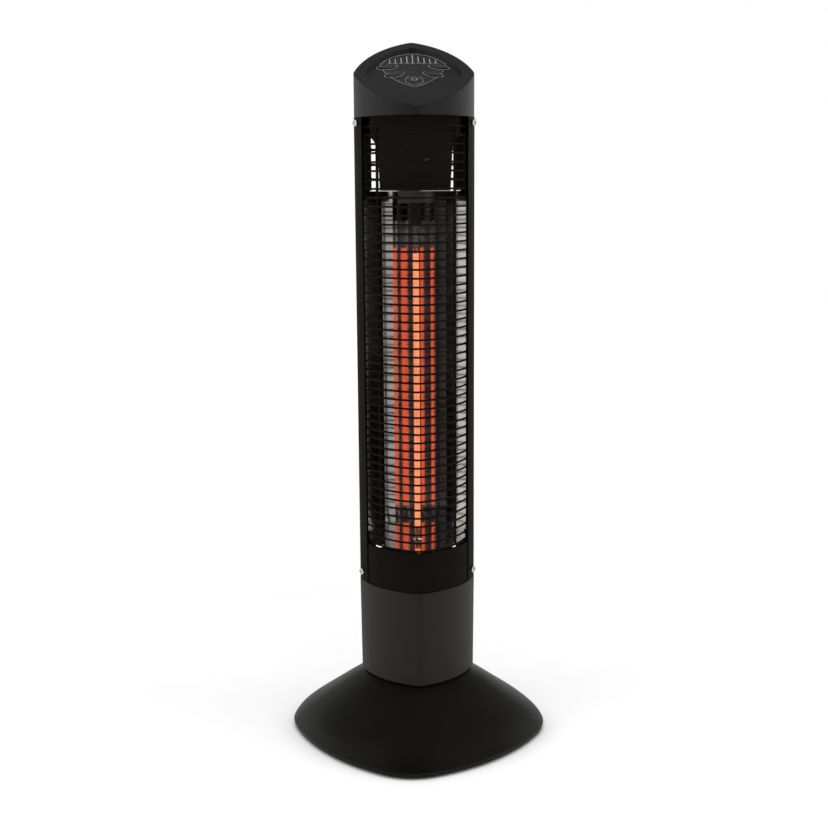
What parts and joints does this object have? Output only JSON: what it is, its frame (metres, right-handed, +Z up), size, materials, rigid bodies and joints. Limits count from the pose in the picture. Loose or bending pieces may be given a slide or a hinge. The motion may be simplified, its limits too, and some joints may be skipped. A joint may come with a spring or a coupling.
{
  "type": "infrared patio heater tower",
  "caption": "Tall caged infrared heater whose lamp column turns to and fro on a domed base, with press buttons on its slanted top.",
  "frame": {"origin": "on the floor, under the axis that the column turns on", "axes": "+Z up along the column, -Y the way the lamp faces at rest, +X to the right of someone who looks at the lamp"},
  "size_m": [0.3442, 0.3442, 0.9194],
  "materials": {
    "base_plastic": "moulded, satin black",
    "post_plastic": "moulded, fine grain, warm charcoal",
    "head_plastic": "moulded, fine grain, cool charcoal",
    "frame_paint": "satin black powder coat",
    "grille_paint": "black heat-proof coat",
    "baffle_paint": "matte black heat-proof coat",
    "polished_sheet": "polished",
    "quartz": "clear",
    "glow_strip": "glowing carbon",
    "ceramic": "unglazed ceramic",
    "dark_ceramic": "unglazed, dark",
    "bright_steel": "nickel plated",
    "zinc_steel": "zinc plated",
    "iron": "as cast",
    "foot_rubber": "matte",
    "nylon": "natural nylon",
    "black_nylon": "black nylon",
    "circuit_board": "solder-mask green",
    "lead_sleeve": "glass-fibre sleeve",
    "fascia_plastic": "satin black overlay",
    "light_guide": "frosted clear",
    "button_plastic": "satin black"
  },
  "bodies": {
    "base": {"base_cover": "base_plastic", "base_plate": "frame_paint", "base_weight": "iron", "rubber_feet": "foot_rubber", "base_screws": "zinc_steel", "weight_screws": "zinc_steel", "cord_gland": "black_nylon", "swivel_bush": "nylon", "motor_bracket": "zinc_steel", "oscillation_motor": "zinc_steel", "motor_screws": "zinc_steel"},
    "drive_pinion": {"motor_shaft": "zinc_steel", "drive_pinion": "nylon"},
    "column": {"swivel_hub": "black_nylon", "swivel_gear": "nylon", "gear_screws": "zinc_steel", "hub_screws": "zinc_steel", "post_shell": "post_plastic", "deck_plate": "zinc_steel", "deck_screws": "zinc_steel", "mains_terminal_block": "nylon", "tilt_switch": "black_nylon", "power_board": "circuit_board", "left_rail": "frame_paint", "right_rail": "frame_paint", "rear_housing": "frame_paint", "lower_panel": "frame_paint", "front_grille": "grille_paint", "grille_screws": "bright_steel", "bottom_reflector": "polished_sheet", "reflector": "polished_sheet", "top_reflector": "polished_sheet", "lamp_tube": "quartz", "filament": "glow_strip", "lamp_caps": "dark_ceramic", "lower_lamp_holder": "zinc_steel", "upper_lamp_holder": "zinc_steel", "heat_baffle": "baffle_paint", "earth_screws": "bright_steel", "thermal_cutout": "ceramic", "lamp_leads": "lead_sleeve", "signal_lead": "lead_sleeve", "head_shell": "head_plastic", "head_floor": "head_plastic", "head_screws": "frame_paint", "control_fascia": "fascia_plastic", "light_bars": "light_guide", "control_board": "circuit_board", "board_screws": "zinc_steel", "key_switches": "black_nylon"},
    "upper_left_button": {"upper_left_button": "button_plastic"},
    "upper_right_button": {"upper_right_button": "button_plastic"},
    "lower_left_button": {"lower_left_button": "button_plastic"},
    "lower_right_button": {"lower_right_button": "button_plastic"},
    "power_button": {"power_button": "button_plastic"}
  },
  "joints": [
    {"name": "column_swivel", "type": "hinge", "parent": "base", "child": "column", "pos_m": [0, 0, 0.08], "axis": [0, 0, 1], "range_deg": [-41.7, 28.3]},
    {"name": "pinion_spin", "type": "hinge", "parent": "base", "child": "drive_pinion", "pos_m": [0.00583, 0.04966, 0.062], "axis": [0, 0, 1], "range_deg": [-113.2, 166.8]},
    {"name": "upper_left_button_press", "type": "slide", "parent": "column", "child": "upper_left_button", "axis": [0, 0.506, -0.8625], "range_m": [0, 0.0008], "stiffness_N_per_m": 900, "springref_m": -0.001},
    {"name": "upper_right_button_press", "type": "slide", "parent": "column", "child": "upper_right_button", "axis": [0, 0.506, -0.8625], "range_m": [0, 0.0008], "stiffness_N_per_m": 900, "springref_m": -0.001},
    {"name": "lower_left_button_press", "type": "slide", "parent": "column", "child": "lower_left_button", "axis": [0, 0.506, -0.8625], "range_m": [0, 0.0008], "stiffness_N_per_m": 900, "springref_m": -0.001},
    {"name": "lower_right_button_press", "type": "slide", "parent": "column", "child": "lower_right_button", "axis": [0, 0.506, -0.8625], "range_m": [0, 0.0008], "stiffness_N_per_m": 900, "springref_m": -0.001},
    {"name": "power_button_press", "type": "slide", "parent": "column", "child": "power_button", "axis": [0, 0.506, -0.8625], "range_m": [0, 0.0008], "stiffness_N_per_m": 900, "springref_m": -0.001}
  ],
  "couplings": [
    {"joint": "pinion_spin", "follows": "column_swivel", "ratio": -4}
  ]
}
